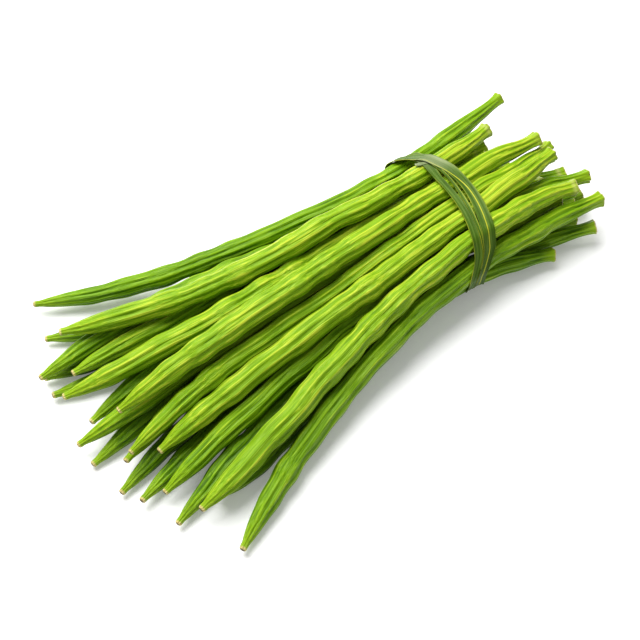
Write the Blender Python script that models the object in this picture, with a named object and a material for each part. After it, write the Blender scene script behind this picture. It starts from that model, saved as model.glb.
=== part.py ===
"""A bunch of moringa pods: ribbed pods that fan out from a strip of leaf wound twice round them.

The bunch is laid out in millimetres round the leaf strip, with the stems towards +X, and is moved
at the end so that its box stands centred on the origin.
"""

import math

import bmesh
import bpy
import numpy as np

MM = 0.001  # metres in a millimetre

# The pods' places, from the back of the fan to the front: tip (x, y, z), belly (y, z), crossing of
# the tie (y, z), stem end (x, y, z) and thickness. Real sizes in millimetres, with the table at z = 0.
POD_PLACES = {
    "pod_01": ((-310, 150, 12), (87, 22), (65, 38), (117, 72, 47), 16.5),
    "pod_02": ((-319, 115, 9), (69, 12), (56, 19), (80, 30, 30), 17.5),
    "pod_03": ((-311, 98, 24), (46, 41), (37, 53), (82, 47, 50), 19.0),
    "pod_04": ((-339, 88, 9), (58, 10), (40, 10), (92, 14, 10), 18.0),
    "pod_05": ((-344, 75, 18), (64, 24), (36, 24), (88, 20, 22), 18.0),
    "pod_06": ((-321, 74, 26), (62, 34), (46, 36), (76, 39, 34), 17.5),
    "pod_07": ((-341, 70, 9), (42, 10), (23, 10), (84, -2, 10), 18.0),
    "pod_08": ((-338, 51, 21), (29, 42), (33, 43), (70, 34, 40), 18.5),
    "pod_09": ((-312, 11, 33), (10, 57), (9, 53), (110, 1, 46), 19.5),
    "pod_10": ((-331, 25, 14), (36, 24), (18, 26), (122, -15, 24), 18.0),
    "pod_11": ((-293, 41, 9), (26, 10), (6, 10), (92, -18, 10), 18.0),
    "pod_12": ((-349, 15, 13), (15, 41), (11, 38), (94, -15, 32), 18.0),
    "pod_13": ((-348, -4, 10), (20, 23), (5, 24), (104, -46, 14), 18.0),
    "pod_14": ((-323, -18, 20), (-1, 40), (2, 46), (120, 15, 34), 16.5),
    "pod_15": ((-327, -22, 12), (4, 25), (-9, 30), (126, -38, 27), 17.5),
    "pod_16": ((-305, -28, 28), (-18, 48), (-13, 56), (105, -6, 55), 19.5),
    "pod_17": ((-344, -31, 9), (-2, 10), (-11, 10), (124, -36, 22), 18.0),
    "pod_18": ((-336, -47, 10), (-12, 13), (-20, 24), (105, -50, 12), 18.0),
    "pod_19": ((-318, -58, 16), (-34, 35), (-25, 42), (94, -30, 40), 18.0),
    "pod_20": ((-322, -87, 9), (-41, 11), (-29, 10), (111, -62, 22), 18.0),
    "pod_21": ((-305, -89, 22), (-57, 40), (-29, 54), (103, -38, 46), 20.0),
    "pod_22": ((-288, -78, 10), (-56, 11), (-45, 18), (66, -63, 11), 18.0),
    "pod_23": ((-296, -128, 9), (-71, 21), (-48, 37), (121, -56, 37), 19.0),
}
BELLY_X = -160.0

# How a pod thickens from its blunt tip (share 0 of its length) to its cut stem end (share 1).
GIRTH_SHARES = (0.0, 0.012, 0.03, 0.055, 0.09, 0.14, 0.22, 0.6, 0.74, 0.81, 0.88, 0.925, 0.955, 0.98, 1.0)
GIRTHS = (0.30, 0.35, 0.50, 0.69, 0.86, 0.96, 1.0, 0.98, 0.88, 0.92, 0.90, 0.80, 0.68, 0.61, 0.67)
TIP_RINGS = (0.0, 0.012, 0.03, 0.055, 0.09, 0.14)  # as shares of the length
BODY_RINGS = 10
STEM_RINGS = (0.925, 0.955, 0.98, 1.0)
RIBS = 9
RIB_DEPTH = 1.1
SWELL_SHARE = 0.045  # how far a seed swelling stands out, as a share of the pod's radius

# Settling the pods against each other and the table.
NODES = 45
GAP = 0.7
SETTLE_STEPS = 260
FREE_STEPS = 60
STIFF_WAVES = 7.0
PLAN_PULL = 0.985  # share of a pod's shift from its planned line kept after each step
SINK = 0.03
SQUEEZE = 0.06
SQUEEZE_REACH = 40.0
TIE_MIDDLE = (8.0, 30.0)
STRIP_REACH = 34.0  # the strip runs under the pods this near to the tie's middle
FLAT_SPOT = 0.85  # surface this near the table is pressed flat onto it

# The leaf strip of the tie.
STRIP_THICKNESS = 1.0
STRIP_CLEARANCE = 0.5
STRIP_TURN_STEPS = 40
STRIP_STATIONS = 40  # the strip keeps this near to the tie's middle
WIDE_STRIP = 12.0
NARROW_STRIP = 8.3
STRIP_SPREAD = 5.8  # each turn's middle stands this far to its side of the tie's middle
STRIP_SHIFT = 6.0  # the tie runs this far towards the stems,
STRIP_LEAN = 4.0  # further at its back,
STRIP_SAG = 8.5  # further again over the top,
STRIP_BOW = 17.0  # and less at both its sides, its front most of all
STRIP_PINCH = 0.2  # share of their width and spacing that the turns lose below the top
TIE_HALF_SIZE = (68.0, 38.0)
CROSSING_TURN = 0.1  # share of a turn up from the +Y side to where the two turns cross
CROSSING_SHARE = 0.1
CROSSING_LIFT = 1.7


def clear_scene():
    for obj in list(bpy.data.objects):
        bpy.data.objects.remove(obj)


def new_collection(name):
    collection = bpy.data.collections.new(name)
    bpy.context.scene.collection.children.link(collection)
    return collection


def new_material(name, colour, roughness):
    material = bpy.data.materials.new(name)
    material.use_nodes = True
    shader = material.node_tree.nodes["Principled BSDF"]
    shader.inputs["Base Color"].default_value = (*colour, 1.0)
    shader.inputs["Roughness"].default_value = roughness
    return material


def add_piece(name, mesh_data, collection, material):
    mesh = bpy.data.meshes.new(name)
    mesh_data.to_mesh(mesh)
    mesh_data.free()
    mesh.materials.append(material)
    mesh.shade_smooth()
    collection.objects.link(bpy.data.objects.new(name, mesh))


def planned_line(tip, belly, crossing, stem_end):
    """A pod's centre line from tip to stem end: the one cubic curve through its four places."""
    stations = (tip[0], BELLY_X, 0.0, stem_end[0])
    x = np.linspace(tip[0], stem_end[0], NODES)
    line = [x]
    for axis in (0, 1):
        places = (tip[axis + 1], belly[axis], crossing[axis], stem_end[axis + 1])
        line.append(np.polyval(np.polyfit(stations, places, 3), x))
    return np.transpose(line)


def pod_radius(share, thickness, phase):
    """Radius to the ribs' crests at a share of the length, with the swellings of the seeds."""
    body = 0.5 * thickness * np.interp(share, GIRTH_SHARES, GIRTHS)
    wave = np.sin(2 * math.pi * 7 * share + phase) + 0.6 * np.sin(2 * math.pi * 11.3 * share + 2 * phase)
    fade = np.clip(share * 6, 0, 1) * np.clip((1 - share) * 5, 0, 1)
    return body * (1 + SWELL_SHARE * wave * fade)


def close_pairs(lines, reach):
    """Every node and run of another pod that lie close enough to meet."""
    pods, nodes = lines.shape[:2]
    points = lines.reshape(-1, 3)
    starts = lines[:, :-1].reshape(-1, 3)
    ends = lines[:, 1:].reshape(-1, 3)
    middles = (starts + ends) / 2
    point_pod = np.repeat(np.arange(pods), nodes)
    run_pod = np.repeat(np.arange(pods), nodes - 1)
    near = np.abs(points[:, None, 0] - middles[None, :, 0]) < reach
    near &= point_pod[:, None] != run_pod[None, :]
    point, run = np.nonzero(near)
    apart = np.linalg.norm(points[point] - middles[run], axis=1)
    point, run = point[apart < reach], run[apart < reach]
    run_start = run + run // (nodes - 1)
    return point, run_start


def push_apart(lines, radii, point, start):
    """Moves pods that press into each other apart."""
    places = lines.reshape(-1, 3)
    girth = radii.reshape(-1)
    run = places[start + 1] - places[start]
    along = np.einsum("ij,ij->i", places[point] - places[start], run) / np.einsum("ij,ij->i", run, run)
    along = np.clip(along, 0, 1)
    nearest = places[start] + along[:, None] * run
    offset = places[point] - nearest
    distance = np.linalg.norm(offset, axis=1)
    wanted = girth[point] + (1 - along) * girth[start] + along * girth[start + 1] + GAP
    press = np.clip(wanted - distance, 0, None)
    push = offset / np.maximum(distance, 1e-6)[:, None] * (press / 2)[:, None]
    moves = np.zeros_like(places)
    weight = np.full(len(places), 1e-9)
    touching = press > 0
    for index, step, part in (
        (point, push, np.ones_like(along)),
        (start, -push, 1 - along),
        (start + 1, -push, along),
    ):
        np.add.at(moves, index[touching], (step * part[:, None])[touching])
        np.add.at(weight, index[touching], part[touching])
    places += moves / np.maximum(weight, 1)[:, None] * 1.6


def settle(lines, radii):
    """Lets the stiff pods sink onto each other and the table while the tie squeezes them."""
    planned = lines.copy()
    waves = np.arange(NODES)
    modes = np.cos(math.pi * np.outer(waves + 0.5, waves) / NODES)
    modes /= np.linalg.norm(modes, axis=0)
    stiffen = modes @ np.diag(1 / (1 + (waves / STIFF_WAVES) ** 4)) @ modes.T
    strip_below = np.exp(-((planned[:, :, 0] / STRIP_REACH) ** 4)) * (STRIP_THICKNESS + 3 * STRIP_CLEARANCE)
    floor = radii - FLAT_SPOT / 2 + strip_below
    for step in range(SETTLE_STEPS + FREE_STEPS):
        if step % 15 == 0:
            point, start = close_pairs(lines, 36.0)
        free = step >= SETTLE_STEPS
        if not free:
            lines[:, :, 2] -= SINK
            grip = np.exp(-((lines[:, :, 0] / SQUEEZE_REACH) ** 2))
            inward = np.array(TIE_MIDDLE) - lines[:, :, 1:]
            inward /= np.maximum(np.linalg.norm(inward, axis=2, keepdims=True), 1.0)
            lines[:, :, 1:] += SQUEEZE * grip[:, :, None] * inward
        for _ in range(3):
            push_apart(lines, radii, point, start)
            lines[:, :, 2] = np.maximum(lines[:, :, 2], floor)
        moved = lines - planned
        if not free:
            moved = PLAN_PULL * np.einsum("nm,pmj->pnj", stiffen, moved)
        lines = planned + moved
    for _ in range(60):
        push_apart(lines, radii, point, start)
        lines[:, :, 2] = np.maximum(lines[:, :, 2], floor)
    return lines


def loft(rings, closed):
    """A bmesh through rings of points, capped at both ends or joined end to end."""
    mesh_data = bmesh.new()
    loops = [[mesh_data.verts.new(point) for point in ring] for ring in rings]
    pairs = list(zip(loops, loops[1:]))
    if closed:
        pairs.append((loops[-1], loops[0]))
    else:
        mesh_data.faces.new(loops[0])
        mesh_data.faces.new(loops[-1][::-1])
    for first, second in pairs:
        for i in range(len(first)):
            j = (i + 1) % len(first)
            mesh_data.faces.new((first[j], first[i], second[i], second[j]))
    bmesh.ops.recalc_face_normals(mesh_data, faces=mesh_data.faces)
    return mesh_data


def at_share(line, share):
    """A place on a centre line and the line's direction there."""
    grid = np.linspace(0, 1, len(line))
    place = np.array([np.interp(share, grid, line[:, i]) for i in range(3)])
    ahead = np.array([np.interp(min(share + 0.02, 1), grid, line[:, i]) for i in range(3)])
    behind = np.array([np.interp(max(share - 0.02, 0), grid, line[:, i]) for i in range(3)])
    direction = (ahead - behind) / np.linalg.norm(ahead - behind)
    return place, direction


def ring_shares():
    """Rings close together where the ends taper and even along the body."""
    return (*TIP_RINGS, *np.linspace(0.2, 0.885, BODY_RINGS), *STEM_RINGS)


def pod_rings(line, thickness, phase, twist):
    rings = []
    for share in ring_shares():
        place, direction = at_share(line, share)
        side = np.cross(direction, (0, 0, 1))
        side /= np.linalg.norm(side)
        up = np.cross(side, direction)
        crest = pod_radius(share, thickness, phase)
        groove = crest - RIB_DEPTH * min(1.0, crest / 8)
        ring = []
        for k in range(2 * RIBS):
            angle = math.pi * k / RIBS + math.radians(twist) * (share - 0.5)
            radius = groove if k % 2 else crest
            ring.append(place + radius * (math.cos(angle) * up + math.sin(angle) * side))
        rings.append(np.array(ring))
    return rings


def press_flat(rings):
    """Lets the surface that lies on the table end in flat spots."""
    for ring in rings:
        ring[ring[:, 2] < FLAT_SPOT, 2] = 0.0


def outline_at(pods, x):
    """The (y, z) points where the pods' ribs and grooves cross a plane square to the bunch."""
    points = []
    for rings in pods:
        for rib in np.swapaxes(rings, 0, 1):
            points.append((np.interp(x, rib[:, 0], rib[:, 1]), np.interp(x, rib[:, 0], rib[:, 2])))
    return np.array(points)


def outline_corners(pods, x):
    """The corners of the flat-sided outline drawn tight round the pods, as (y, z) points."""
    step = 2 * math.pi / STRIP_TURN_STEPS
    angles = step * np.arange(STRIP_TURN_STEPS)
    facing = np.array((np.cos(angles), np.sin(angles)))
    reach = (outline_at(pods, x) @ facing).max(axis=0)
    along = (np.roll(reach, -1) - reach * math.cos(step)) / math.sin(step)
    return (facing * reach + np.array((-facing[1], facing[0])) * along).T


def smooth_step(value):
    value = min(max(value, 0.0), 1.0)
    return value * value * (3 - 2 * value)


def strip_place(turn):
    """Sideways place, width and lift of the strip after a number of turns from 0 to 2."""
    from_crossing = (turn + 0.5) % 1.0 - 0.5
    passing = smooth_step(0.5 + 0.5 * from_crossing / CROSSING_SHARE)
    second = 0.5 <= turn < 1.5
    side = 1 - 2 * passing if second else 2 * passing - 1
    width = NARROW_STRIP + (WIDE_STRIP - NARROW_STRIP) * (0.5 + 0.5 * side)
    over = 0.0 if second else smooth_step(1.6 - abs(from_crossing) / CROSSING_SHARE)
    return side * STRIP_SPREAD, width, over * CROSSING_LIFT


def strip_point(corners, row, across, height):
    """A point of the strip at a row round it, a share of its width and a height over the pods.

    Where the point lies along the bunch hangs on its place round it, and the other way about, so
    the two are found in turns.
    """
    facing = 2 * math.pi * (row + 0.5) / STRIP_TURN_STEPS
    outward = np.array((math.cos(facing), math.sin(facing)))
    stations = np.arange(-STRIP_STATIONS, STRIP_STATIONS + 1)
    x = 0.0
    for _ in range(8):
        corner = np.array([np.interp(x, stations, places) for places in corners[:, row % STRIP_TURN_STEPS].T])
        y, z = (corner - TIE_MIDDLE) / TIE_HALF_SIZE
        past = (math.atan2(z, y) - facing + math.pi) % (2 * math.pi) - math.pi
        middle, width, lift = strip_place((facing + past) / (2 * math.pi) - CROSSING_TURN)
        pinch = 1 - STRIP_PINCH * smooth_step(1 - 1.7 * z)
        bow = STRIP_BOW * y**2 * (1 - 0.45 * smooth_step(y))
        lean = STRIP_SHIFT + STRIP_LEAN * y + STRIP_SAG * smooth_step(2 * z - 0.2) - bow
        x = lean + pinch * (middle + across * width)
    return np.array((x, *(corner + (height + lift) * outward)))


def tie_rings(pods):
    """The strip's cross-sections, each a flat leaf section wrapped round the bunch's outline."""
    stations = np.arange(-STRIP_STATIONS, STRIP_STATIONS + 1)
    corners = np.array([outline_corners(pods, x) for x in stations])
    rings = []
    for row in range(2 * STRIP_TURN_STEPS):
        inner = [strip_point(corners, row, across, STRIP_CLEARANCE) for across in (-0.5, 0.0, 0.5)]
        top = STRIP_CLEARANCE + STRIP_THICKNESS
        outer = [strip_point(corners, row, across, top) for across in (0.5, 0.0, -0.5)]
        rings.append(np.array(inner + outer))
    return rings


clear_scene()
bunch = new_collection("bunch_of_moringa_pods")
names = list(POD_PLACES)
planned = np.array([planned_line(*POD_PLACES[name][:-1]) for name in names])
thicknesses = [POD_PLACES[name][-1] for name in names]
phases = np.arange(len(names)) * 2.4
shares = np.linspace(0, 1, NODES)
radii = np.array([pod_radius(shares, *girth) for girth in zip(thicknesses, phases)])
lines = settle(planned, radii)

all_rings = {}
for name, line, thickness, phase in zip(names, lines, thicknesses, phases):
    on_table = line[:, 2].min() < thickness
    rings = pod_rings(line, thickness, phase, 0 if on_table else 30 * math.sin(phase))
    press_flat(rings)
    all_rings[name] = rings
all_rings["leaf_tie"] = tie_rings([np.array(rings) for rings in all_rings.values()])

points = np.concatenate([ring for rings in all_rings.values() for ring in rings])
low, high = points.min(axis=0), points.max(axis=0)
centre = np.array(((low[0] + high[0]) / 2, (low[1] + high[1]) / 2, low[2]))

for name, rings in all_rings.items():
    is_tie = name == "leaf_tie"
    colour = (0.10, 0.19, 0.06) if is_tie else (0.24, 0.42, 0.04)
    material = new_material(name, colour, 0.5)
    add_piece(name, loft([(ring - centre) * MM for ring in rings], closed=is_tie), bunch, material)
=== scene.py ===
"""The looks of the bunch of moringa pods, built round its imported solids."""

import math

import bmesh
import bpy
import numpy as np
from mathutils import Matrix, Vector


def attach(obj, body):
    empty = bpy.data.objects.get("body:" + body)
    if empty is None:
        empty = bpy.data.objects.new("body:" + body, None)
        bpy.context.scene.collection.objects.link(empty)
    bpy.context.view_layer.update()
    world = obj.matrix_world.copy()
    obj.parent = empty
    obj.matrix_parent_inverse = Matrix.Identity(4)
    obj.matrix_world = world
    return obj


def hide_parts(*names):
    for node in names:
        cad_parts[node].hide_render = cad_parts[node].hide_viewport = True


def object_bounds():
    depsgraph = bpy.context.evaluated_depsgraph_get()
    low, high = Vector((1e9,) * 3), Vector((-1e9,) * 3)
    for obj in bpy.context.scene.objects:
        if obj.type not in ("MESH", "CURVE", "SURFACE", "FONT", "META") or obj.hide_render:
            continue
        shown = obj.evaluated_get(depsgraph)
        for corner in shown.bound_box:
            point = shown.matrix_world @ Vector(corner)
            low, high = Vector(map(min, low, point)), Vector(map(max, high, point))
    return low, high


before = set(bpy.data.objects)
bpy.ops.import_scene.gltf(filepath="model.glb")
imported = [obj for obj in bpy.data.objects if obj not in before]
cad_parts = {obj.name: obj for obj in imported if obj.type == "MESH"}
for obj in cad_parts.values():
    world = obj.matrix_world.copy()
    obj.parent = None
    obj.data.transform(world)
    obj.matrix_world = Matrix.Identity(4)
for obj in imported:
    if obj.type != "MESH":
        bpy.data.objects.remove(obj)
cad_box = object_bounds()


# The pods
# Fresh moringa fruits, also called drumsticks: long, firm and three-sided, with nine ribs that run
# from the blunt tip to the cut stem end. Each swells a little over its seeds and lies as its own
# solid does, pressed against its neighbours under the leaf strip.
SOLID_RINGS = 20  # rings of corners along each pod's solid
POD_COLUMNS = 90
POD_ROW_STEP = 0.0029
BODY_FROM_TIP = 0.0026  # between its two caps a pod's rows are evenly spaced
BODY_FROM_STEM = 0.0006
FIRST_POD_SEED = 40
MERGE_DISTANCE = 1e-6

SWELLING = 0.037  # share of the radius
SWELLING_TO_ONE_SIDE = 0.3
SWELLING_LENGTHS = (0.023, 0.036)
SIDEWAYS_SWAY = 0.0003
SWAY_LENGTHS = (0.05, 0.09)
EVEN_TIP_LENGTH = 0.05  # over these lengths the swellings fade out towards the ends
EVEN_STEM_LENGTH = 0.04

POD_RIBS = 9
RIB_HEIGHT = 0.00125  # from the bottom of a groove to a rib's crest, where a pod is thick
RIB_HEIGHT_CHANGE = 0.3  # share of it, from place to place
RIB_HEIGHT_LENGTHS = (0.04, 0.12)
RIB_WANDER = 0.020  # radians that a rib runs to either side of its line
RIB_WANDER_LENGTHS = (0.06, 0.15)
GROOVE_SHARPNESS = 1.5
FINE_RIB_HEIGHT = 0.00045  # the lesser rib in the middle of each groove
FINE_RIB_CHANGE = 0.4
FINE_RIB_LENGTHS = (0.03, 0.09)
FINE_RIB_SHARPNESS = 3
FINE_RIB_PAST_CREST = 0.0001
CREST_RANGE = 1.3  # rib heights, from the crest's colour to the groove's: the crests lighter, partly with painted highlight, the grooves darker with painted shade
THICK_RADIUS = 0.008
NECK_LENGTH = 0.045  # over this much of its stem end a pod draws in and its ribs stand out
NECK_RIB_GAIN = 0.5

LOBES = 5  # into which a stem end is drawn
LOBE_LENGTH = 0.024
LOBE_SHARE = 0.11
LOBE_INWARDS = 0.2
LOBE_ONSET = 1.5
LOBE_UNEVENNESS = 0.25
LOBE_STARTS = (0, 6)  # radians
LOBE_RIB_LOSS = 0.75
FLARE_LENGTH = 0.005
FLARE_SHARE = 0.10
# Some pods are swollen a little before their stem end.
BULGE_FROM_STEM = {"pod_01": 0.062, "pod_06": 0.026, "pod_12": 0.034, "pod_15": 0.045, "pod_16": 0.036}
BULGE_SHARE = 0.12
BULGE_LENGTH = 0.016
# Some stems end in the scar ring where they grew from the twig.
SCAR_RING_FROM_STEM = {
    "pod_03": 0.004,
    "pod_06": 0.013,
    "pod_09": 0.0025,
    "pod_10": 0.006,
    "pod_12": 0.003,
    "pod_15": 0.008,
    "pod_20": 0.005,
    "pod_21": 0.004,
}
SCAR_RING_HEIGHT = 0.0006
SCAR_RING_HALF = 0.0007
NOWHERE = -1  # the place of the swelling or ring that a pod lacks
# A tip ends in a small knob behind a waist.
TIP_KNOB_SHARE = 0.12
TIP_KNOB_LENGTH = 0.0022
TIP_WAIST_SHARE = 0.08
TIP_WAIST_FROM_TIP = 0.006
TIP_WAIST_LENGTH = 0.0035
# Each end is closed by rows that go inwards: how far from the end, and the share of the radius.
TIP_CAP = ((0.0006, 0.0), (0.0003, 0.25), (0.0003, 0.50), (0.0007, 0.74), (0.0014, 0.92))
STEM_CAP = ((0.0001, 0.93), (0.0007, 0.80), (0.0022, 0.60), (0.0026, 0.0))


def unit(vectors):
    return vectors / np.linalg.norm(vectors, axis=-1, keepdims=True)


def hump(distance, half_width):
    """A smooth hump: one in its middle, and next to nothing at twice its half width."""
    return np.exp(-((distance / half_width) ** 2))


def solid_rings(name):
    """The corners of a pod's solid as rings from its tip to its stem end.

    A flat spot has no corners inside it, so those are put back half way between their neighbours.
    """
    corners = np.array([corner.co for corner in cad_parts[name].data.vertices])
    corners = np.unique(np.round(corners, 6), axis=0)
    steps = np.diff(corners[:, 0])
    between_rings = np.sort(np.argsort(steps)[1 - SOLID_RINGS :]) + 1
    rings = []
    for ring in np.split(corners, between_rings):
        spokes = ring - ring.mean(axis=0)
        ring = ring[np.argsort(np.arctan2(spokes[:, 1], spokes[:, 2]))]
        while len(ring) < 2 * POD_RIBS:
            following = np.roll(ring, -1, axis=0)
            widest = np.linalg.norm(following - ring, axis=1).argmax()
            ring = np.insert(ring, widest + 1, (ring[widest] + following[widest]) / 2, axis=0)
        rings.append(ring)
    return np.array(rings)


def pod_axes(directions):
    """The directions along a pod, to its side and up from it."""
    along = unit(directions)
    side = unit(np.cross(along, (0, 0, 1)))
    return along, side, np.cross(side, along)


def solid_shape(name):
    """How a pod's solid runs: where its rings lie along it, their middles and directions, how far out
    its crests reach there, and which way the first crest faces."""
    rings = solid_rings(name)
    centres = rings.mean(axis=1)
    runs = np.linalg.norm(np.diff(centres, axis=0), axis=1)
    stations = np.concatenate([[0], np.cumsum(runs)])
    along, side, up = pod_axes(np.gradient(centres, stations, axis=0))
    spokes = rings - centres[:, None]
    reach = np.linalg.norm(spokes, axis=2)
    turned = np.arctan2(np.einsum("rki,ri->rk", spokes, side), np.einsum("rki,ri->rk", spokes, up))
    on_crest = reach > np.median(reach, axis=1, keepdims=True)
    crest_reach = (reach * on_crest).sum(axis=1) / on_crest.sum(axis=1)
    first_crest = np.angle((np.exp(1j * POD_RIBS * turned) * on_crest).sum(axis=1)) / POD_RIBS
    return stations, centres, along, crest_reach, first_crest


def smooth_between(values, stations, places):
    """Values at the given places on smooth curves through the stations."""
    slopes = np.gradient(values, stations, axis=0)
    index = np.clip(np.searchsorted(stations, places, side="right") - 1, 0, len(stations) - 2)
    span = stations[index + 1] - stations[index]
    share = (places - stations[index]) / span
    if np.ndim(values) > 1:
        span, share = span[:, None], share[:, None]
    start = (1 + 2 * share) * (1 - share) ** 2 * values[index]
    start += share * (1 - share) ** 2 * span * slopes[index]
    end = share**2 * (3 - 2 * share) * values[index + 1]
    end += share**2 * (share - 1) * span * slopes[index + 1]
    return start + end


def ripples(random, around, along, most_turns, lengths, count=10):
    """Smooth unevenness of about 1 either way that closes on itself round a pod."""
    total = 0
    for _ in range(count):
        turns = random.integers(-most_turns, most_turns + 1)
        length = random.uniform(*lengths)
        start = random.uniform(0, 2 * math.pi)
        total = total + np.sin(2 * math.pi * (turns * around + along / length) + start)
    return total / math.sqrt(count / 2)


def rib_by_rib(random, phase, along, lengths, count=5):
    """Smooth unevenness of about 1 either way that each rib has for itself."""
    turns = random.uniform(1 / lengths[1], 1 / lengths[0], (count, POD_RIBS, 1))
    starts = random.uniform(0, 2 * math.pi, (count, POD_RIBS, 1))
    of_ribs = np.sin(2 * math.pi * turns * along[:, 0] + starts).sum(axis=0) / math.sqrt(count / 2)
    rib = phase / (2 * math.pi)
    before = np.floor(rib).astype(int)
    share = rib - before
    share = share * share * (3 - 2 * share)
    rows = np.arange(len(along))[:, None]
    return of_ribs[before % POD_RIBS, rows] * (1 - share) + of_ribs[(before + 1) % POD_RIBS, rows] * share


def pod_rows(length):
    """Where a pod's rows lie, from tip to stem end, and the share of the radius that each one has."""
    tip_places, tip_shares = zip(*TIP_CAP)
    stem_places, stem_shares = zip(*STEM_CAP)
    body = np.linspace(BODY_FROM_TIP, length - BODY_FROM_STEM, int(length / POD_ROW_STEP))
    at = np.concatenate([tip_places, body, length - np.array(stem_places)])
    return at, np.concatenate([tip_shares, np.ones(len(body)), stem_shares])


def rib_depth(random, phase, from_tip, from_stem, middle):
    """How far each point of a pod lies below the crests of its ribs."""
    wander = rib_by_rib(random, phase, from_tip, RIB_WANDER_LENGTHS)
    phase = phase + POD_RIBS * RIB_WANDER * middle * wander
    strength = 1 + RIB_HEIGHT_CHANGE * middle * rib_by_rib(random, phase, from_tip, RIB_HEIGHT_LENGTHS)
    neck = np.clip(1 - from_stem / NECK_LENGTH, 0, 1)
    groove = (0.5 - 0.5 * np.cos(phase)) ** GROOVE_SHARPNESS
    change = rib_by_rib(random, phase + math.pi, from_tip, FINE_RIB_LENGTHS)
    fine = np.clip(-np.cos(phase), 0, 1) ** FINE_RIB_SHARPNESS
    fine = fine * (1 - FINE_RIB_CHANGE + FINE_RIB_CHANGE * change)
    return RIB_HEIGHT * strength * (1 + NECK_RIB_GAIN * neck) * groove - FINE_RIB_HEIGHT * fine


def lobed_and_flared(random, radius, turn, lobed, from_stem):
    """A pod's radius, with its stem end drawn into lobes and widened at the cut."""
    uneven = LOBE_UNEVENNESS * np.sin(turn + random.uniform(*LOBE_STARTS))
    lobe_turn = turn + uneven + random.uniform(*LOBE_STARTS)
    lobes = np.cos(LOBES * lobe_turn) - LOBE_INWARDS
    radius = radius * (1 + LOBE_SHARE * lobed**LOBE_ONSET * lobes)
    flared = np.clip(1 - from_stem / FLARE_LENGTH, 0, 1) ** 2
    return radius * (1 + FLARE_SHARE * flared)


def pod_shape(name, random):
    """A pod's skin in rows and columns: where each point lies, and where it would on a straight pod,
    how high on a rib it is, how far it is from the ends, and how much of it is a scar ring."""
    stations, centres, along, crest_reach, first_crest = solid_shape(name)
    length = stations[-1]
    at, end_shares = pod_rows(length)
    centre = smooth_between(centres, stations, at)
    _, side, up = pod_axes(smooth_between(along, stations, at))

    around = np.linspace(0, 1, POD_COLUMNS + 1)[None, :]
    from_tip = at[:, None]
    from_stem = length - from_tip
    middle = np.clip(from_tip / EVEN_TIP_LENGTH, 0, 1) * np.clip(from_stem / EVEN_STEM_LENGTH, 0, 1)
    swelling = ripples(random, 0, from_tip, 0, SWELLING_LENGTHS)
    swelling = swelling + SWELLING_TO_ONE_SIDE * ripples(random, around, from_tip, 1, SWELLING_LENGTHS)
    radius = smooth_between(crest_reach, stations, at)[:, None]
    radius = radius * (1 + SWELLING * middle * swelling)

    phase = np.broadcast_to(POD_RIBS * 2 * math.pi * around, radius.shape)
    lobed = np.clip(1 - from_stem / LOBE_LENGTH, 0, 1)
    depth = rib_depth(random, phase, from_tip, from_stem, middle) * (1 - LOBE_RIB_LOSS * lobed)
    crest = np.clip(1 - depth / (RIB_HEIGHT * CREST_RANGE), 0, 1)
    thick = np.minimum(1, radius / THICK_RADIUS)
    radius = radius - thick * np.clip(depth, -FINE_RIB_PAST_CREST, None)

    turn = 2 * math.pi * around + smooth_between(first_crest, stations, at)[:, None]
    radius = lobed_and_flared(random, radius, turn, lobed, from_stem)
    bulge = hump(from_stem - BULGE_FROM_STEM.get(name, NOWHERE), BULGE_LENGTH)
    radius = radius * (1 + BULGE_SHARE * bulge)
    scar_ring = hump(from_stem - SCAR_RING_FROM_STEM.get(name, NOWHERE), SCAR_RING_HALF)
    radius = radius + SCAR_RING_HEIGHT * scar_ring
    knob = hump(from_tip, TIP_KNOB_LENGTH)
    waist = hump(from_tip - TIP_WAIST_FROM_TIP, TIP_WAIST_LENGTH)
    radius = radius * (1 + TIP_KNOB_SHARE * knob - TIP_WAIST_SHARE * waist)
    radius = radius * end_shares[:, None]

    upwards = np.cos(turn) * radius
    sideways = np.sin(turn) * radius
    sway = SIDEWAYS_SWAY * middle * ripples(random, 0, from_tip, 0, SWAY_LENGTHS)
    places = centre[:, None] + upwards[..., None] * up[:, None] + (sideways + sway)[..., None] * side[:, None]
    places = np.clip(places, cad_box[0], cad_box[1])
    straightened = np.stack([upwards, sideways, np.broadcast_to(from_tip, radius.shape)], axis=-1)
    from_ends = np.stack(np.broadcast_arrays(from_tip, from_stem, end_shares[:, None]), axis=-1)
    return places, straightened, crest, from_ends, scar_ring[:, 0]


def new_grid(rows, columns):
    """A flat grid of this many rows and columns of corners, with a UV map."""
    grid = bmesh.new()
    grid.loops.layers.uv.new("UVMap")
    bmesh.ops.create_grid(grid, x_segments=columns - 1, y_segments=rows - 1, size=1, calc_uvs=True)
    return grid


def grid_place(corner, rows, columns):
    """The row and column of a corner of a flat grid."""
    row = round((corner.co.y + 1) / 2 * (rows - 1))
    column = round((corner.co.x + 1) / 2 * (columns - 1))
    return row, column


def close_seams(grid):
    """Merges the corners that meet, and turns the faces outwards."""
    bmesh.ops.remove_doubles(grid, verts=grid.verts, dist=MERGE_DISTANCE)
    bmesh.ops.recalc_face_normals(grid, faces=grid.faces)


def finished_piece(name, made):
    """A smooth object of a finished mesh, in the scene."""
    mesh = bpy.data.meshes.new(name)
    made.to_mesh(mesh)
    made.free()
    mesh.shade_smooth()
    piece = bpy.data.objects.new(name, mesh)
    bpy.context.scene.collection.objects.link(piece)
    return piece


# Lower pods are painted darker: painted shade from the pods over them, and partly a deeper green of their
# own. TONE_CHANCE adds a random difference in each pod's own tone.
LOW_POD_SHADE_AND_TONE = 0.15  # the shade and tone of a pod that lies on the table, from dark at nought to light at one
LOW_POD_HEIGHT = 0.008
PAINTED_SHADE_HEIGHT = 0.045  # over this much height the painted shade goes from dark to light
TONE_CHANCE = 0.12
PATTERN_STEP = 0.7  # from one pod's pattern to the next one's, so that no two are alike


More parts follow.
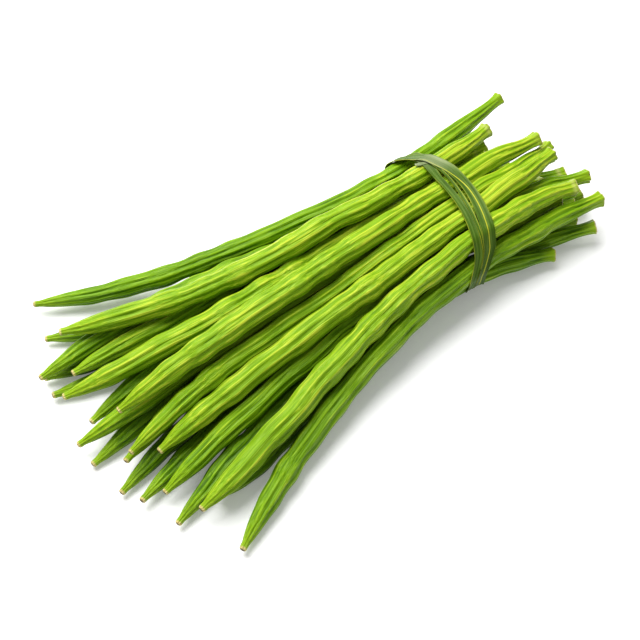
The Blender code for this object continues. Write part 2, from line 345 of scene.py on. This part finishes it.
def make_pod(name, number):
    random = np.random.default_rng(FIRST_POD_SEED + number)
    places, straightened, crest, from_ends, scar_ring = pod_shape(name, random)
    rows, columns = crest.shape
    skin = new_grid(rows, columns)
    place_layer = skin.verts.layers.float_vector.new("pod_place")
    ends_layer = skin.verts.layers.float_vector.new("pod_ends")
    crest_layer = skin.verts.layers.float.new("rib_crest")
    scar_layer = skin.verts.layers.float.new("scar_ring")
    shade_and_tone_layer = skin.verts.layers.float.new("pod_shade_and_tone")
    # Painted shade by height: the lower a pod lies, the darker it is painted, with a random share of its own
    # tone.
    shade_and_tone = LOW_POD_SHADE_AND_TONE + (places[..., 2].mean() - LOW_POD_HEIGHT) / PAINTED_SHADE_HEIGHT
    shade_and_tone = float(np.clip(shade_and_tone + random.uniform(-TONE_CHANCE, TONE_CHANCE), 0, 1))
    offset = np.array((0.0, 0.0, PATTERN_STEP * number))
    for corner in skin.verts:
        row, column = grid_place(corner, rows, columns)
        corner.co = places[row, column]
        corner[place_layer] = straightened[row, column] + offset
        corner[ends_layer] = from_ends[row, 0]
        corner[crest_layer] = crest[row, column]
        corner[scar_layer] = scar_ring[row]
        corner[shade_and_tone_layer] = shade_and_tone
    close_seams(skin)
    return finished_piece(name + "_skin", skin)


def shader_node(tree, kind, sockets=(), **settings):
    """A node of the given kind, with its settings, and its sockets set to values or joined."""
    made = tree.nodes.new("ShaderNode" + kind)
    for key, value in settings.items():
        setattr(made, key, value)
    for socket, value in dict(sockets).items():
        if isinstance(value, bpy.types.NodeSocket):
            tree.links.new(value, made.inputs[socket])
        else:
            made.inputs[socket].default_value = value
    return made


def attribute(tree, name, output):
    return shader_node(tree, "Attribute", attribute_name=name).outputs[output]


def colour_ramp(tree, factor, stops):
    ramp = shader_node(tree, "ValToRGB", {"Fac": factor})
    while len(ramp.color_ramp.elements) < len(stops):
        ramp.color_ramp.elements.new(0.5)
    for element, (place, colour) in zip(ramp.color_ramp.elements, stops):
        element.position = place
        element.color = (*colour, 1)
    return ramp.outputs["Color"]


def blended(tree, factor, under, over):
    """A colour under another one, which is a plain colour or a socket, as far as the factor says."""
    if isinstance(over, tuple):
        over = (*over, 1)
    return shader_node(tree, "Mix", {0: factor, 6: under, 7: over}, data_type="RGBA").outputs[2]


def product_of(tree, first, second):
    return shader_node(tree, "Math", {0: first, 1: second}, operation="MULTIPLY").outputs[0]


def weighed_sum(tree, start, *parts):
    """A start, plus each value times its share."""
    total = start
    for value, share in parts:
        sockets = {0: value, 1: share, 2: total}
        total = shader_node(tree, "Math", sockets, operation="MULTIPLY_ADD").outputs[0]
    return total


def ranged(tree, value, low, high, to_low=0.0, to_high=1.0):
    sockets = {0: value, 1: low, 2: high, 3: to_low, 4: to_high}
    return shader_node(tree, "MapRange", sockets).outputs[0]


def stretched_noise(tree, place, across, along, detail):
    """Noise with features of the given sizes in metres, across and along a piece."""
    sized = shader_node(tree, "Mapping", {"Vector": place, "Scale": (1 / across, 1 / across, 1 / along)})
    sockets = {"Vector": sized.outputs[0], "Scale": 1.0, "Detail": detail}
    return shader_node(tree, "TexNoise", sockets).outputs[0]


def pattern(tree, place, across, along, detail, low, high):
    """Stretched noise that goes from nought to one between a low and a high value of it."""
    return ranged(tree, stretched_noise(tree, place, across, along, detail), low, high)


def new_material(name):
    material = bpy.data.materials.new(name)
    material.use_nodes = True
    tree = material.node_tree
    return material, tree, tree.nodes["Principled BSDF"]


BUMP_HEIGHT = 0.0004


def set_surface(tree, shader, patterns, roughness, gloss, tint, bump_strength):
    """Two patterns raise the surface, and roughness, gloss and the colour of the gloss are set."""
    tree.links.new(roughness, shader.inputs["Roughness"])
    shader.inputs["Specular IOR Level"].default_value = gloss
    shader.inputs["Specular Tint"].default_value = (*tint, 1)
    height = weighed_sum(tree, 0.0, *((raised, 0.5) for raised in patterns))
    sockets = {"Height": height, "Strength": bump_strength, "Distance": BUMP_HEIGHT}
    tree.links.new(shader_node(tree, "Bump", sockets).outputs[0], shader.inputs["Normal"])


# The palest stop is reached on the crests, where a painted highlight lies, and the dark stops by painted
# shade in the grooves and on the lower pods.
POD_DEEP = (0.012, 0.045, 0.001)
POD_SHADED = (0.040, 0.120, 0.001)
POD_GREEN = (0.118, 0.255, 0.001)
POD_LIGHT = (0.200, 0.360, 0.006)
POD_CREST_AND_HIGHLIGHT = (0.420, 0.510, 0.028)
POD_SHADES = ((0.0, POD_DEEP), (0.3, POD_SHADED), (0.55, POD_GREEN), (0.8, POD_LIGHT), (1.0, POD_CREST_AND_HIGHLIGHT))
POD_GLOSS = 0.3
POD_GLOSS_TINT = (0.85, 1.0, 0.40)
TIP_GREEN = (0.235, 0.385, 0.006)
CUT_CREAM = (0.680, 0.580, 0.250)
CUT_TAN = (0.500, 0.350, 0.110)
SCAR_BROWN = (0.090, 0.040, 0.012)
# Each pattern's size across and along a pod, its detail, and the noise's low and high.
STREAKS = (0.0015, 0.10, 2.0, 0.35, 0.65)
FINE_STREAKS = (0.0007, 0.07, 1.0, 0.38, 0.62)
POD_PATCHES = (0.010, 0.035, 2.0, 0.3, 0.7)
SPECKLE = (0.0011, 0.0011, 2.0)
# Where a colour starts and where it is full, in metres from the tip or the stem end.
PALER_FROM_STEM = (0.26, 0.06)
GREEN_FROM_TIP = (0.030, 0.004)
GREEN_FROM_STEM = (0.014, 0.001)
CUT_FROM_TIP = (0.0030, 0.0016)
CUT_FROM_STEM = (0.0013, 0.0006)
SCAR_FROM_TIP = (0.01, 0.005)
BROWN_FROM_STEM = (0.002, 0.001)


def pod_material():
    material, tree, shader = new_material("pod_skin")
    place = attribute(tree, "pod_place", "Vector")
    ends = attribute(tree, "pod_ends", "Vector")
    crest = attribute(tree, "rib_crest", "Fac")
    shade_and_tone = attribute(tree, "pod_shade_and_tone", "Fac")
    scar_ring = attribute(tree, "scar_ring", "Fac")
    from_tip, from_stem, end_share = shader_node(tree, "SeparateXYZ", {0: ends}).outputs

    streaks = pattern(tree, place, *STREAKS)
    fine_streaks = pattern(tree, place, *FINE_STREAKS)
    patches = pattern(tree, place, *POD_PATCHES)
    # The crests are painted lighter, partly their own paler green and partly painted highlight, and the
    # grooves darker as painted shade. Along each crest runs a narrow painted highlight line.
    painted_crest_highlight = product_of(tree, ranged(tree, crest, 0.90, 1.0), ranged(tree, patches, 0.3, 0.9))
    # The height shade and tone darkens the lower pods: painted shade from the pods over them, and partly
    # their own deeper green.
    shade = weighed_sum(
        tree,
        -0.07,
        (shade_and_tone, 0.42),
        (crest, 0.20),
        (painted_crest_highlight, 0.20),
        (streaks, 0.23),
        (fine_streaks, 0.17),
        (patches, 0.12),
        (ranged(tree, from_stem, *PALER_FROM_STEM), 0.09),
    )
    colour = colour_ramp(tree, shade, POD_SHADES)

    streaked = ranged(tree, streaks, 0, 1, 0.55, 0.95)
    near_tip = product_of(tree, ranged(tree, from_tip, *GREEN_FROM_TIP), streaked)
    colour = blended(tree, near_tip, colour, TIP_GREEN)
    colour = blended(tree, ranged(tree, from_stem, *GREEN_FROM_STEM, 0.0, 0.8), colour, TIP_GREEN)
    speckle = stretched_noise(tree, place, *SPECKLE)
    cut = colour_ramp(tree, speckle, ((0.40, CUT_TAN), (0.50, CUT_CREAM)))
    colour = blended(tree, ranged(tree, from_tip, *CUT_FROM_TIP, 0.0, 0.95), colour, cut)
    colour = blended(tree, product_of(tree, scar_ring, 0.5), colour, CUT_CREAM)
    colour = blended(tree, ranged(tree, from_stem, *CUT_FROM_STEM, 0.0, 0.8), colour, cut)
    specks = ranged(tree, speckle, 0.60, 0.66)
    browned = product_of(tree, specks, ranged(tree, from_stem, *BROWN_FROM_STEM))
    colour = blended(tree, browned, colour, SCAR_BROWN)
    inner_rows = ranged(tree, end_share, 0.78, 0.55)
    tip_scar = product_of(tree, inner_rows, ranged(tree, from_tip, *SCAR_FROM_TIP))
    colour = blended(tree, tip_scar, colour, SCAR_BROWN)
    tree.links.new(colour, shader.inputs["Base Color"])

    roughness = ranged(tree, streaks, 0.0, 1.0, 0.45, 0.30)
    set_surface(tree, shader, (streaks, fine_streaks), roughness, POD_GLOSS, POD_GLOSS_TINT, 1.0)
    return material


pod_skin = pod_material()
pod_names = sorted(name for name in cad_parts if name.startswith("pod_"))
pods = []
for number, name in enumerate(pod_names):
    pod = make_pod(name, number)
    pods.append(pod)
    pod.data.materials.append(pod_skin)
    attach(pod, "root")
    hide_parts(name)


# The leaf tie
# One long strip of green leaf, about as thick as card, pulled tight twice round the bunch. The turns
# stand apart on top and cross over the back pods. One end is split off narrow and lies between them,
# the other is folded under, and the grip of the turns holds both.
TIE_MIDDLE = np.array((0.11079, -0.00259, 0.030))
TIE_HALF_SIZE = np.array((0.068, 0.038))
TIE_REACH = 0.036  # the strip keeps this near to the tie's middle, seen along the bunch
OUTLINE_STEP = 0.001
OUTLINE_SLICE_HALF = 0.0025
OUTLINE_ROUNDING = 4  # degrees
BAND_ROUNDING = 2
LEAST_FACING = 0.1  # the cosine past which a direction is too far round to touch the band

# How the strip runs: shares of the tie's half size in y and z set how far along the bunch it lies.
STRIP_SPREAD = 0.0058
STRIP_SHIFT = 0.006
STRIP_LEAN = 0.004
STRIP_SAG = 0.0085
STRIP_SAG_STEEPNESS = 2
STRIP_SAG_START = 0.2
STRIP_BOW = 0.017
STRIP_BOW_LOSS = 0.45
STRIP_PINCH = 0.2
STRIP_PINCH_STEEPNESS = 1.7
STRIP_ABOVE_PODS = 0.0007
CROSSING_TURN = 0.1
CROSSING_SHARE = 0.1
CROSSING_LIFT = 0.0017
CROSSING_LIFT_REACH = 1.6
OPENED_TURN = 0.15  # where the turns stand apart on top, drawn in to leave a gap
OPENED_LENGTH = 0.11
OPENED_BY = 0.0030
CLOSED_TURN = 0.88  # and at the back they lie together
CLOSED_LENGTH = 0.14
CLOSED_BY = 0.0022

WIDE_STRIP = 0.012
NARROW_STRIP = 0.0083
STRIP_THICKNESS = 0.0006
WOUND_ROWS = 721
STRIP_ROWS = 621
STRIP_COLUMNS = 25
STRIP_SEED = 7
EDGE_CURL = 0.0005
EDGE_CURL_SHARPNESS = 4
# Shares of the strip's width, as the places on it are, and waves in each turn.
MIDRIB_HEIGHT = 0.0003
MIDRIB_HALF = 0.05
RIB_EDGE_TURN = 0.06  # where the leaf's midrib runs along the edge of the wide turn
RIB_EDGE_LENGTH = 0.09
RIB_EDGE_SHIFT = -0.42
CREASES = 6
CREASE_HEIGHT = 0.00016
CREASE_HALF = 0.07
CREASE_REACH = 0.4
CREASE_WANDER = 0.05
CREASE_WANDER_WAVES = (1, 4)
CREASE_FADE_WAVES = (2, 6)
SHEEN_TURN = 0.03  # where the leaf gets a painted sheen, going over the top
SHEEN_LENGTH = 0.045


def smooth_step(value):
    value = np.clip(value, 0, 1)
    return value * value * (3 - 2 * value)


def rounded(table, spread):
    """A table smoothed over its directions, which go once round."""
    steps = np.arange(-3 * spread, 3 * spread + 1)
    shares = hump(steps, spread)
    return sum(share * np.roll(table, step, axis=1) for share, step in zip(shares / shares.sum(), steps))


def bunch_outline():
    """A band drawn tight round the pods: per millimetre along the bunch and degree round it, how far
    out it lies and which way it faces."""
    corners = np.concatenate([[corner.co for corner in pod.data.vertices] for pod in pods]) - TIE_MIDDLE
    angles = np.radians(np.arange(360))
    facing = np.array((np.cos(angles), np.sin(angles)))
    reach = []
    for place in np.arange(-TIE_REACH, TIE_REACH + OUTLINE_STEP / 2, OUTLINE_STEP):
        near = corners[abs(corners[:, 0] - place) < OUTLINE_SLICE_HALF]
        reach.append((near[:, 1:] @ facing).max(axis=0))
    reach = rounded(np.array(reach), OUTLINE_ROUNDING)
    turned = np.cos(angles[:, None] - angles)
    outline = []
    for row in reach:
        crossed = np.where(turned > LEAST_FACING, row[:, None] / np.maximum(turned, LEAST_FACING), 1.0)
        outline.append((crossed.min(axis=0), *facing[:, crossed.argmin(axis=0)]))
    outline = np.moveaxis(np.array(outline), 1, 0)
    return np.array([rounded(table, BAND_ROUNDING) for table in outline])


def read_outline(outline, x, angle):
    """The outline's values at places along the bunch and angles round it."""
    turned = np.degrees(angle) % 360
    before = turned.astype(int) % 360
    past = turned - turned.astype(int)
    column = np.clip((x + TIE_REACH) / OUTLINE_STEP, 0, outline.shape[1] - 1.001)
    left = column.astype(int)
    part = column - left
    here = outline[:, left, before] * (1 - past) + outline[:, left, (before + 1) % 360] * past
    there = outline[:, left + 1, before] * (1 - past) + outline[:, left + 1, (before + 1) % 360] * past
    return here * (1 - part) + there * part


def wound_strip(outline, turn, across, sideways, width, height):
    """Points of a strip wound round the bunch, for turns in rows and shares of its width in columns.

    Where the strip lies along the bunch and how far out it goes there hang on each other, so they are
    worked out again until both have settled.
    """
    angle = (2 * math.pi * (turn + CROSSING_TURN))[:, None] + 0 * across
    x = np.zeros_like(angle)
    for _ in range(10):
        out, face_y, face_z = read_outline(outline, x, angle)
        y = out * np.cos(angle) / TIE_HALF_SIZE[0]
        z = out * np.sin(angle) / TIE_HALF_SIZE[1]
        pinch = 1 - STRIP_PINCH * smooth_step(1 - STRIP_PINCH_STEEPNESS * z)
        bow = STRIP_BOW * y**2 * (1 - STRIP_BOW_LOSS * smooth_step(y))
        sag = STRIP_SAG * smooth_step(STRIP_SAG_STEEPNESS * z - STRIP_SAG_START)
        middle = STRIP_SHIFT + STRIP_LEAN * y + sag - bow
        x = middle + pinch * (sideways[:, None] + across * width[:, None])
    y = out * np.cos(angle) + height * face_y
    z = out * np.sin(angle) + height * face_z
    points = np.stack([x, y, z], axis=-1) + TIE_MIDDLE
    points[:, :, 2] = np.maximum(points[:, :, 2], STRIP_THICKNESS)
    return points


def near_turn(turn, place, length):
    """One at a place round the bunch, fading to nothing over a length to either side."""
    return hump((turn - place + 0.5) % 1.0 - 0.5, length)


def even_rows(points, count, *along):
    """The same strip, and values along it, with its rows evenly spaced, and each row's place along it."""
    middle = points[:, points.shape[1] // 2]
    gone = np.concatenate([[0], np.cumsum(np.linalg.norm(np.diff(middle, axis=0), axis=1))])
    even = np.linspace(0, gone[-1], count)
    flat = points.reshape(len(points), -1)
    spaced = np.array([np.interp(even, gone, values) for values in flat.T]).T
    return spaced.reshape(count, -1, 3), even, [np.interp(even, gone, values) for values in along]


def wave(random, turn, counts):
    """A wave with any start, and a number of crests in each turn that lies between the two given."""
    return np.sin(2 * math.pi * (random.uniform(*counts) * turn + random.random()))


def strip_profile(across, turn):
    """Height over the strip's width: a midrib, curled edges, and creases that run along the leaf."""
    random = np.random.default_rng(STRIP_SEED)
    curl = EDGE_CURL * (2 * abs(across)) ** EDGE_CURL_SHARPNESS
    height = MIDRIB_HEIGHT * hump(across, MIDRIB_HALF) + curl
    for _ in range(CREASES):
        place = random.uniform(-CREASE_REACH, CREASE_REACH)
        place = place + CREASE_WANDER * wave(random, turn, CREASE_WANDER_WAVES)
        fade = 0.5 + 0.5 * wave(random, turn, CREASE_FADE_WAVES)
        height = height - CREASE_HEIGHT * fade[:, None] * hump(across - place[:, None], CREASE_HALF)
    return height


def make_strip(name, points, across, along, width, ribbed, rib_share, painted_sheen):
    """A thin leaf strip through rows of points. Each corner keeps its own place on the leaf."""
    rows, columns = points.shape[:2]
    leaf = new_grid(rows, columns)
    place_layer = leaf.verts.layers.float_vector.new("strip_place")
    rib_and_sheen_layer = leaf.verts.layers.float_vector.new("strip_rib_and_sheen")
    for corner in leaf.verts:
        row, column = grid_place(corner, rows, columns)
        corner.co = points[row, column]
        corner[place_layer] = (across[column] * width[row], across[column], along[row])
        # The third value on this layer is how much painted sheen the row gets.
        corner[rib_and_sheen_layer] = (ribbed[row], across[column] - rib_share[row], painted_sheen[row])
    close_seams(leaf)
    bmesh.ops.solidify(leaf, geom=leaf.verts[:] + leaf.edges[:] + leaf.faces[:], thickness=STRIP_THICKNESS)
    return finished_piece(name, leaf)


def make_tie(outline):
    """Both turns in one closed strip, which is wide on one turn and narrow on the other."""
    turn = np.linspace(0, 2, WOUND_ROWS)
    across = np.linspace(-0.5, 0.5, STRIP_COLUMNS)
    from_crossing = (turn + 0.5) % 1.0 - 0.5
    passing = smooth_step(0.5 + 0.5 * from_crossing / CROSSING_SHARE)
    second = (turn >= 0.5) & (turn < 1.5)
    side = np.where(second, 1 - 2 * passing, 2 * passing - 1)
    on_wide_turn = 0.5 + 0.5 * side
    drawn_in = OPENED_BY * near_turn(turn, OPENED_TURN, OPENED_LENGTH)
    drawn_together = CLOSED_BY * near_turn(turn, CLOSED_TURN, CLOSED_LENGTH)
    width = NARROW_STRIP + (WIDE_STRIP - NARROW_STRIP) * on_wide_turn - drawn_in
    sideways = side * (STRIP_SPREAD + drawn_in / 2 - drawn_together)
    rib_share = RIB_EDGE_SHIFT * near_turn(turn, RIB_EDGE_TURN, RIB_EDGE_LENGTH)
    # Painted sheen on the wide turn where it goes over the top.
    painted_sheen = near_turn(turn, SHEEN_TURN, SHEEN_LENGTH) * on_wide_turn
    lift = CROSSING_LIFT * smooth_step(CROSSING_LIFT_REACH - abs(from_crossing) / CROSSING_SHARE)
    lift = np.where(second, 0, lift)
    height = STRIP_ABOVE_PODS + lift[:, None] + strip_profile(across, turn)
    points = wound_strip(outline, turn, across, sideways, width, height)
    points[-1] = points[0]
    points, along, rows = even_rows(points, STRIP_ROWS, width, on_wide_turn, rib_share, painted_sheen)
    return make_strip("leaf_strip", points, across, along, *rows)


END_TURNS = (-0.02, 0.37)
END_WOUND_ROWS = 160
END_ROWS = 141
END_COLUMNS = 9
END_WIDTH = 0.0038
END_WIDTH_CHANGE = 0.25
END_WIDTH_WAVE = 9  # radians, from the start of the end to its point
END_POINT_SHARE = 0.01
END_SIDEWAYS = -0.0012
END_SWAY = 0.0012
END_SWAY_WAVE = 7
END_LIFT = 0.0012
END_RISE_STEEPNESS = 6
END_FALL_STEEPNESS = 5
END_RIB_SHIFT = 0.34


def make_strip_end(outline):
    """The loose end of the leaf: split narrow, tucked under the crossing and laid between the turns."""
    turn = np.linspace(*END_TURNS, END_WOUND_ROWS)
    across = np.linspace(-0.5, 0.5, END_COLUMNS)
    gone = (turn - turn[0]) / (turn[-1] - turn[0])
    pointed = np.sqrt(np.clip(1 - gone**3, END_POINT_SHARE, 1))
    uneven = 1 - END_WIDTH_CHANGE + END_WIDTH_CHANGE * np.cos(END_WIDTH_WAVE * gone)
    width = END_WIDTH * pointed * uneven
    sideways = END_SIDEWAYS + END_SWAY * np.sin(END_SWAY_WAVE * gone)
    lift = END_LIFT * smooth_step(END_RISE_STEEPNESS * gone) * smooth_step(END_FALL_STEEPNESS * (1 - gone))
    height = STRIP_ABOVE_PODS + lift[:, None] + EDGE_CURL * (2 * abs(across)) ** 2
    points = wound_strip(outline, turn, across, sideways, width, height)
    points, along, (width,) = even_rows(points, END_ROWS, width)
    none = 0 * along
    return make_strip("leaf_strip_end", points, across, along, width, none + 1, none + END_RIB_SHIFT, none)


TUCK_TURN = 0.018
TUCK_TURN_LENGTH = 0.014
TUCK_ROWS = 9
TUCK_COLUMNS = 13
TUCK_LENGTH = 0.012
TUCK_NARROWING = 0.25
TUCK_SIDEWAYS = -0.0062
TUCK_RISE = 0.0018
# How much painted sheen the tuck gets.
TUCK_SHEEN = 0.8


def make_tuck(outline):
    """The leaf's other end, folded back under the crossing so that a short flap sticks out, which carries a
    painted sheen.
    """
    turn = np.linspace(TUCK_TURN, TUCK_TURN + TUCK_TURN_LENGTH, TUCK_ROWS)
    across = np.linspace(-0.5, 0.5, TUCK_COLUMNS)
    width = TUCK_LENGTH * (1 - TUCK_NARROWING * abs(np.linspace(-1, 1, TUCK_ROWS)))
    sideways = np.full(TUCK_ROWS, TUCK_SIDEWAYS)
    height = STRIP_ABOVE_PODS + TUCK_RISE * (0.5 - across) * np.ones((TUCK_ROWS, 1))
    points = wound_strip(outline, turn, across, sideways, width, height)
    points, along, (width,) = even_rows(points, TUCK_ROWS, width)
    none = 0 * along
    return make_strip("leaf_strip_tuck", points, across, along, width, none, none, none + TUCK_SHEEN)


LEAF_DARK = (0.013, 0.038, 0.001)
LEAF_GREEN = (0.044, 0.104, 0.003)
LEAF_PALE = (0.125, 0.200, 0.030)
LEAF_RIB = (0.440, 0.440, 0.025)
# The whitish grey-green of the painted sheen on top of the wide turn and on the tuck.
LEAF_PAINTED_SHEEN = (0.300, 0.330, 0.190)
LEAF_GLOSS = 0.2
LEAF_GLOSS_TINT = (0.9, 1.0, 0.55)
# Each pattern's size across and along the leaf, its detail, and the noise's low and high.
VEINS = (0.0005, 0.12, 1.0, 0.3, 0.7)
BANDS = (0.0022, 0.08, 2.0, 0.3, 0.7)
LEAF_PATCHES = (0.008, 0.03, 2.0, 0.3, 0.7)


def unsigned(tree, value):
    return shader_node(tree, "Math", {0: value}, operation="ABSOLUTE").outputs[0]


def leaf_material():
    material, tree, shader = new_material("leaf_strip")
    place = attribute(tree, "strip_place", "Vector")
    rib = attribute(tree, "strip_rib_and_sheen", "Vector")
    across, share, along = shader_node(tree, "SeparateXYZ", {0: place}).outputs
    ribbed, from_rib, painted_sheen = shader_node(tree, "SeparateXYZ", {0: rib}).outputs
    on_leaf = shader_node(tree, "CombineXYZ", {0: across, 2: along}).outputs[0]
    veins = pattern(tree, on_leaf, *VEINS)
    bands = pattern(tree, on_leaf, *BANDS)
    patches = pattern(tree, on_leaf, *LEAF_PATCHES)
    shade = weighed_sum(tree, 0.0, (veins, 0.35), (bands, 0.45), (patches, 0.25))
    colour = colour_ramp(tree, shade, ((0.15, LEAF_DARK), (0.5, LEAF_GREEN), (0.95, LEAF_PALE)))

    near_rib = ranged(tree, unsigned(tree, from_rib), 0.05, 0.025)
    on_midrib = product_of(tree, near_rib, ranged(tree, ribbed, 0.4, 0.7))
    colour = blended(tree, on_midrib, colour, LEAF_RIB)
    at_edge = ranged(tree, unsigned(tree, share), 0.45, 0.49)
    torn = product_of(tree, at_edge, ranged(tree, patches, 0.4, 0.8, 0.05, 0.5))
    colour = blended(tree, torn, colour, LEAF_RIB)
    # Painted sheen: the top of the wide turn and the tuck are painted whitish grey-green.
    painted_sheen_mask = product_of(tree, painted_sheen, ranged(tree, bands, 0.1, 0.9, 0.4, 0.9))
    colour = blended(tree, painted_sheen_mask, colour, LEAF_PAINTED_SHEEN)
    tree.links.new(colour, shader.inputs["Base Color"])

    roughness = ranged(tree, bands, 0.0, 1.0, 0.5, 0.34)
    set_surface(tree, shader, (veins, bands), roughness, LEAF_GLOSS, LEAF_GLOSS_TINT, 0.7)
    return material


outline = bunch_outline()
leaf_strip = leaf_material()
for strip in (make_tie(outline), make_strip_end(outline), make_tuck(outline)):
    strip.data.materials.append(leaf_strip)
    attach(strip, "root")
    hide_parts("leaf_tie")


# The floor
# A plain white sheet that the bunch lies on, lit a little from below as well, which thins the
# shadows. It isn't part of the object.
FLOOR_HALF = 3.0
FLOOR_WHITE = (0.82, 0.82, 0.82)
FLOOR_GLOW = 0.16

sheet = bmesh.new()
bmesh.ops.create_grid(sheet, x_segments=1, y_segments=1, size=FLOOR_HALF)
floor = finished_piece("floor", sheet)
floor_white, _, floor_shader = new_material("floor_white")
floor_shader.inputs["Base Color"].default_value = (*FLOOR_WHITE, 1)
floor_shader.inputs["Roughness"].default_value = 0.9
floor_shader.inputs["Specular IOR Level"].default_value = 0.1
floor_shader.inputs["Emission Color"].default_value = (1, 1, 1, 1)
floor_shader.inputs["Emission Strength"].default_value = FLOOR_GLOW
floor.data.materials.append(floor_white)


# Light and camera
# A bright white room with one wide soft lamp overhead, and a long lens that looks down on the bunch
# from beyond its tips and its front.
ROOM_STRENGTH = 0.42
LAMP_PLACE = (0.0, 0.68, 1.25)
LAMP_AIM = (0.0, 0.0, 0.0)
LAMP_SIZE = 1.4
LAMP_POWER = 42.0
CAMERA_PLACE = (-0.4064, -0.5357, 1.0520)
VIEW_AZIMUTH = math.radians(-36.5)
VIEW_ELEVATION = math.radians(58.0)
LENS = 85.0
SENSOR_WIDTH = 36.0

room = bpy.data.worlds.new("room")
room.use_nodes = True
room.node_tree.nodes["Background"].inputs["Color"].default_value = (1, 1, 1, 1)
room.node_tree.nodes["Background"].inputs["Strength"].default_value = ROOM_STRENGTH
bpy.context.scene.world = room

lamp_data = bpy.data.lights.new("overhead_lamp", "AREA")
lamp_data.shape = "DISK"
lamp_data.size = LAMP_SIZE
lamp_data.energy = LAMP_POWER
lamp = bpy.data.objects.new("overhead_lamp", lamp_data)
lamp.location = LAMP_PLACE
lamp.rotation_mode = "QUATERNION"
lamp.rotation_quaternion = (Vector(LAMP_AIM) - Vector(LAMP_PLACE)).to_track_quat("-Z", "Y")
bpy.context.scene.collection.objects.link(lamp)

camera_data = bpy.data.cameras.new("camera")
camera_data.lens = LENS
camera_data.sensor_width = SENSOR_WIDTH
camera_data.clip_start = 0.05
camera_data.clip_end = 20.0
camera = bpy.data.objects.new("camera", camera_data)
camera.location = CAMERA_PLACE
look = Vector(
    (
        -math.sin(VIEW_AZIMUTH) * math.cos(VIEW_ELEVATION),
        math.cos(VIEW_AZIMUTH) * math.cos(VIEW_ELEVATION),
        -math.sin(VIEW_ELEVATION),
    )
)
camera.rotation_mode = "QUATERNION"
camera.rotation_quaternion = look.to_track_quat("-Z", "Y")
bpy.context.scene.collection.objects.link(camera)
bpy.context.scene.camera = camera
bpy.context.scene.view_settings.view_transform = "Standard"
